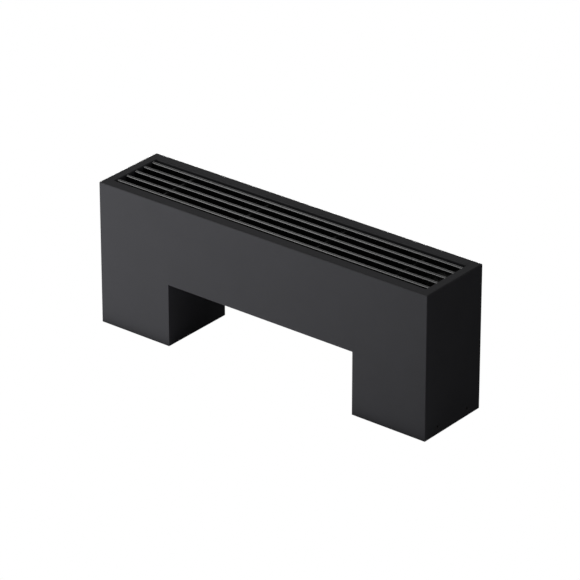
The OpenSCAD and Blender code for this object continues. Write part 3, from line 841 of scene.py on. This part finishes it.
def hexagon_mesh(across_flats, low, high):
    """A closed hexagonal prism from one height to another."""
    shape = bmesh.new()
    corner = hexagon_corner(across_flats)
    made = bmesh.ops.create_cone(
        shape, cap_ends=True, segments=6, radius1=corner, radius2=corner, depth=high - low
    )
    bmesh.ops.translate(shape, verts=made["verts"], vec=(0, 0, (low + high) / 2))
    mesh = bpy.data.meshes.new("hexagon")
    shape.to_mesh(mesh)
    shape.free()
    return mesh


# %% [markdown]
# A casing screw has a flat countersunk head with a hexagon socket, and lies a little deeper
# than the panel. A dark disc would do from afar, but the socket shows close up, so the head is
# turned and a hexagon is cut out of it. Its shank is hidden in the bracket.

# %% Casing screws
SHANK_R = 2.5 * MM
SCREW_L = 16 * MM
SOCKET_AF = 3.4 * MM
SOCKET_DEPTH = 1.8 * MM
ROUND = 0.25 * MM
head = [(0, 0), *arc((HEAD_R - ROUND, -ROUND), ROUND, 90, -45, 4),
        (SHANK_R, SHANK_R - HEAD_R), (SHANK_R, -SCREW_L + ROUND), (SHANK_R - ROUND, -SCREW_L),
        (0, -SCREW_L)]
socket = hexagon_mesh(SOCKET_AF, -SOCKET_DEPTH, SOCKET_DEPTH)
screw = combined(turned("screw", head, 48), socket, "DIFFERENCE")
for vertex in screw.vertices:      # a quarter turn, so that the head looks along x
    vertex.co = (vertex.co.z, vertex.co.y, -vertex.co.x)
in_fours(
    "socket_screws", screw, screw_black, "casing_screws",
    screw_high.x, SCREW_Y, SCREW_Z,
)

# %% [markdown]
# The studs are welded to the floor brackets, and their thread is cut. A helix would be hard to
# close at its ends and looks no different at this size, so a row of rings stands for it. The
# nuts are hexagons turned down to a cone at their two ends, as real nuts are.

# %% Studs and nuts
stud_low, stud_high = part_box("upright_studs")
nut_low, nut_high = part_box("upright_nuts")
STUD_R = 3 * MM
STUD_H = stud_high.z - stud_low.z
THREAD = 1 * MM
THREAD_DEPTH = 0.45 * MM
NUT_AF = 10 * MM
NUT_H = nut_high.z - nut_low.z
CONE_SLOPE = 0.6
CONE_OVERLAP = 1.02
stud_x = stud_high.x - STUD_R
stud_y = stud_high.y - STUD_R
turns = int(STUD_H / THREAD)
thread = [(STUD_R - (THREAD_DEPTH if i % 2 else 0), STUD_H * i / (2 * turns))
          for i in range(2 * turns)]
stud = turned("stud", [(0, 0), *thread, (STUD_R - THREAD_DEPTH, STUD_H), (0, STUD_H)], 32)
in_fours("threaded_studs", stud, zinc, "upright_studs", stud_x, stud_y, stud_low.z)


def nut(across_flats, tall, bore):
    """A hexagon nut from 0 to tall, coned at its two ends and bored."""
    corner = hexagon_corner(across_flats)
    flat = across_flats / 2
    drop = (corner - flat) * CONE_SLOPE
    wide = corner * CONE_OVERLAP
    cone = turned("cone", [
        (bore, 0), (flat, 0), (wide, drop), (wide, tall - drop), (flat, tall), (bore, tall),
    ], 48)
    return combined(cone, hexagon_mesh(across_flats, -tall, 2 * tall), "INTERSECT")


in_fours(
    "hexagon_nuts", nut(NUT_AF, NUT_H, STUD_R), zinc, "upright_nuts",
    stud_x, stud_y, nut_low.z,
)

# %% [markdown]
# The hand cap of the supply valve is moulded with ribs for the fingers. Ribs painted on as
# relief would leave its outline smooth, so they are real. The cap is turned with round
# shoulders and a shallow dish on top. A small tree stretches a ball into a rib, stands the
# ribs round the cap and welds them to it, as the mould makes them in one piece.

# %% Hand cap
cap_low, cap_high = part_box("hand_cap")
RIB_R = 0.8 * MM
RIBS = 20
BALL_RINGS = 7      # an odd number, so that a straight band lies at the middle of the ball
CAP_R = (cap_high.x - cap_low.x) / 2 - RIB_R
CAP_H = cap_high.z - cap_low.z
CAP_BORE_R = 15.05 * MM
CAP_ROOF = 12 * MM
SHOULDER = 2.5 * MM
DISH = 0.8 * MM
DISH_R = 10 * MM
HEM = 0.4 * MM
cap_section = [
    (CAP_BORE_R, HEM), (CAP_BORE_R + HEM, 0), (CAP_R - HEM, 0), (CAP_R, HEM),
    *arc((CAP_R - SHOULDER, CAP_H - SHOULDER), SHOULDER, 0, 90, 8),
    (DISH_R + DISH, CAP_H), *arc((DISH_R - DISH, CAP_H), DISH, 0, -90, 4),
    (0, CAP_H - DISH), (0, CAP_H - CAP_ROOF), (CAP_BORE_R, CAP_H - CAP_ROOF),
]
cap_model = bpy.data.objects.new("cap_model", turned("cap", cap_section, 80))
scene.collection.objects.link(cap_model)
ribs = Growth(
    "ribbed_hand_cap", Shape=cap_model, Ribs=RIBS, Radius=CAP_R, Rib_radius=RIB_R,
    Rib_height=CAP_H - SHOULDER - 3 * MM, Middle=(CAP_H - SHOULDER) / 2,
    X=(cap_low.x + cap_high.x) / 2, Y=(cap_low.y + cap_high.y) / 2, Z=cap_low.z,
    Finish=white_plastic.material,
)
ball = ribs.node("GeometryNodeMeshUVSphere", None, {
    "Segments": 12, "Rings": BALL_RINGS,
    "Radius": ribs["Rib_radius"] / cos(pi / 2 / BALL_RINGS),
})
half_of_ball = ribs.coordinate(2).math("SIGN")
rib = ribs.node("GeometryNodeSetPosition", None, {
    "Geometry": ball, "Offset": ribs.point(z=half_of_ball * ribs["Rib_height"] * 0.5),
})
circle = ribs.node("GeometryNodeMeshCircle", None, {
    "Vertices": ribs["Ribs"], "Radius": ribs["Radius"],
})
all_ribs = ribs.node("GeometryNodeInstanceOnPoints", None, {"Points": circle, "Instance": rib})
all_ribs = ribs.node(
    "GeometryNodeRealizeInstances", None, {0: ribs.moved(all_ribs, z=ribs["Middle"])}
)
cap = ribs.node("GeometryNodeObjectInfo", None, {"Object": ribs["Shape"]}, 4)
cap = ribs.node("GeometryNodeMeshBoolean", {"operation": "UNION", "solver": "EXACT"}, {
    "Mesh 2": [cap, all_ribs],
})
cap_mesh = cleaned(ribs.grow(ribs.moved(cap, ribs["X"], ribs["Y"], ribs["Z"])))
bpy.data.objects.remove(cap_model)
place_piece("ribbed_cap", cap_mesh, white_plastic, "hand_cap", ["hand_cap"])

# %% [markdown]
# The valve bodies and the header are castings: where two round arms meet, the metal flows
# in a soft fillet. A Bevel breaks up on such a curved meeting line. So Remesh turns the CAD
# solid into an even skin, and Smooth melts its inner corners, which is close to what the sand
# mould gives.

# %% Castings
FLAT_ANGLE = radians(0.4)


def joined_mesh(node):
    """A copy of a CAD mesh, its loose triangles joined and its flat faces whole."""
    shape = bmesh.new()
    shape.from_mesh(frame["nodes"][node].data)
    bmesh.ops.remove_doubles(shape, verts=shape.verts, dist=0.002 * MM)
    bmesh.ops.dissolve_limit(
        shape, angle_limit=FLAT_ANGLE, verts=shape.verts, edges=shape.edges
    )
    mesh = bpy.data.meshes.new(node)
    shape.to_mesh(mesh)
    shape.free()
    return mesh


def cast(node, name, skin=0.55 * MM, rounds=8):
    """A cast piece with soft fillets, from a CAD node."""
    mesh = worked(
        joined_mesh(node),
        ("REMESH", {"mode": "VOXEL", "voxel_size": skin}),
        ("SMOOTH", {"factor": 0.5, "iterations": rounds}),
    )
    place_piece(name, mesh, cast_brass, nodes=[node])


cast("supply_valve_body", "cast_supply_valve")
cast("return_valve_body", "cast_return_valve")
cast("return_header", "cast_header")

# %% [markdown]
# The rest is pressed, drawn, moulded or turned to the very shape of its CAD solid, so it needs
# no new shape, only soft edges and its finish. One table lists each piece with its making, its
# edge, its finish and the record's name for that finish.

# %% Pressed, drawn and moulded pieces
BODY_OF = {
    node: body for body, nodes in frame["record"]["behaviour"]["bodies"].items() for node in nodes
}
MAKINGS = [
    ("pressed", 0.3 * MM, zinc, "zinc_steel", [
        "front_left_corner_angle", "front_right_corner_angle", "rear_left_corner_angle",
        "rear_right_corner_angle", "left_grille_ledge", "right_grille_ledge",
        "left_floor_bracket", "right_floor_bracket", "left_upright", "right_upright",
        "left_end_plate", "right_end_plate",
    ]),
    ("moulded", 0.4 * MM, rubber, "rubber", ["left_grille_pad", "right_grille_pad"]),
    ("drawn", 0.15 * MM, copper, "copper", [
        "front_exchanger_tube", "rear_exchanger_tube", "supply_pipe", "return_pipe",
    ]),
    ("moulded", 0.25 * MM, bush_plastic, "bush_plastic", ["tube_bushes"]),
    ("turned", 0.3 * MM, turned_brass, "brass", [
        "air_vent_body", "vent_screw", "drain_plug", "clamping_nuts", "clamping_rings",
        "lockshield_bonnet", "lockshield_disc", "lockshield_spindle",
    ]),
    ("plated", 0.3 * MM, nickel, "nickel", ["valve_insert", "valve_stem"]),
    ("moulded", 0.8 * MM, white_plastic, "white_plastic", ["lockshield_cap"]),
]
for making, edge, finish, slot_name, nodes in MAKINGS:
    for node in nodes:
        mesh = softened(joined_mesh(node), edge)
        place_piece(f"{making}_{node}", mesh, finish, BODY_OF[node], [node])

# %% [markdown]
# The studio is pure white and without shadow, yet the black casing doesn't turn grey, as it
# would between white walls. Floor and sky are therefore white to the camera only. To every
# other ray the sky is dim, and the floor glows in front of the casing alone, most of all at
# the left: its reflection gives the front a soft grey that fades to the right.

# %% Floor and sky
FLOOR_SIZE = 40.0
GLOW_START = -0.05
GLOW_FULL = -0.09
GLOW_LEFT_X, GLOW_RIGHT_X = -0.7, 0.7
GLOW_LEFT, GLOW_RIGHT = 1.29, 0.13
FLOOR_DIM = 0.02
SKY_DIM = 0.08


def white_to_camera(board, other):
    """A shader that is white to the camera and something else to every other ray."""
    ray = board.node("ShaderNodeLightPath")
    white = board.node("ShaderNodeEmission", None, {"Strength": 1.0})
    return board.node("ShaderNodeMixShader", None, {0: ray, 1: other, 2: white})


floor_finish = bpy.data.materials.new("pale_floor")
floor_finish.use_nodes = True
floor_finish.node_tree.nodes.clear()
floor_finish.cycles.emission_sampling = "NONE"
floor_board = Board(floor_finish.node_tree)
spot = floor_board.node("ShaderNodeTexCoord", output=3)
along, across = (floor_board.node("ShaderNodeSeparateXYZ", None, {0: spot}, i) for i in (0, 1))
in_front = floor_board.node("ShaderNodeMapRange", {"interpolation_type": "SMOOTHSTEP"}, {
    "Value": across, "From Min": GLOW_START, "From Max": GLOW_FULL,
})
fade = floor_board.node("ShaderNodeMapRange", None, {
    "Value": along, "From Min": GLOW_LEFT_X, "From Max": GLOW_RIGHT_X,
    "To Min": GLOW_LEFT, "To Max": GLOW_RIGHT,
})
glowing = floor_board.node("ShaderNodeEmission", None, {
    "Color": grey(1, 1.05), "Strength": in_front * fade + FLOOR_DIM,
})
floor_end = floor_board.tree.nodes.new("ShaderNodeOutputMaterial")
floor_board.connect(floor_end.inputs["Surface"], white_to_camera(floor_board, glowing))
floor_mesh = bpy.data.meshes.new("floor")
corner = FLOOR_SIZE / 2
floor_mesh.from_pydata(
    [(-corner, -corner, 0), (corner, -corner, 0), (corner, corner, 0), (-corner, corner, 0)],
    [], [(0, 1, 2, 3)],
)
floor_mesh.materials.append(floor_finish)
floor = bpy.data.objects.new("floor", floor_mesh)
floor.location.z = -0.1 * MM
scene.collection.objects.link(floor)

world = bpy.data.worlds.new("studio")
world.use_nodes = True
scene.world = world
world.node_tree.nodes.clear()
sky = Board(world.node_tree)
dim = sky.node("ShaderNodeBackground", None, {"Color": grey(1), "Strength": SKY_DIM})
ray = sky.node("ShaderNodeLightPath")
bright = sky.node("ShaderNodeBackground", None, {"Color": grey(1), "Strength": 1.0})
sky_end = sky.tree.nodes.new("ShaderNodeOutputWorld")
sky.connect(
    sky_end.inputs["Surface"], sky.node("ShaderNodeMixShader", None, {0: ray, 1: dim, 2: bright})
)
scene.view_settings.view_transform = "Standard"
print("floor glow from", GLOW_LEFT, "at the left to", GLOW_RIGHT, "at the right")

# %% [markdown]
# Soft boxes do the rest, because a lamp shows on a black thing only where it is mirrored. The
# one at the front left draws the bright line on the round edge of every bar, and the one at the
# rear left the grey sheen on their flat tops. The one at the front right does the same when
# somebody looks from behind. Those at the right and the low one at the back show the other
# sides, without a shine on the top, and the one overhead reaches the inside through the grille.

# %% Soft boxes
SOFT_BOXES = [
    # name, place, width, height, brightness
    ("front_left", (-0.95, -0.95, 1.05), 0.8, 1.6, 1.5),
    ("rear_left", (-1.1, 1.4, 1.13), 1.3, 0.35, 0.65),
    ("right", (1.6, 0.5, 1.5), 0.5, 0.5, 1.5),
    ("right_low", (2.4, 0.0, 0.25), 1.0, 0.5, 1.8),
    ("rear_low", (-0.85, 1.0, 0.12), 1.3, 0.2, 30.0),
    ("front_right", (1.4, -1.4, 0.76), 1.3, 0.35, 0.65),
    ("overhead", (0.0, 0.1, 2.4), 1.2, 0.6, 1.4),
]
AIM = Vector((0, 0, (cad_low.z + cad_high.z) / 2))
for name, place, width, tall, brightness in SOFT_BOXES:
    lamp = bpy.data.lights.new(name, "AREA")
    lamp.shape, lamp.size, lamp.size_y = "RECTANGLE", width, tall
    lamp.energy = brightness * pi * width * tall
    holder = bpy.data.objects.new(name, lamp)
    holder.location = place
    holder.rotation_euler = (AIM - Vector(place)).to_track_quat("-Z", "Y").to_euler()
    holder.visible_camera = False
    scene.collection.objects.link(holder)
    print(name, "lamp power in W:", round(lamp.energy, 2))
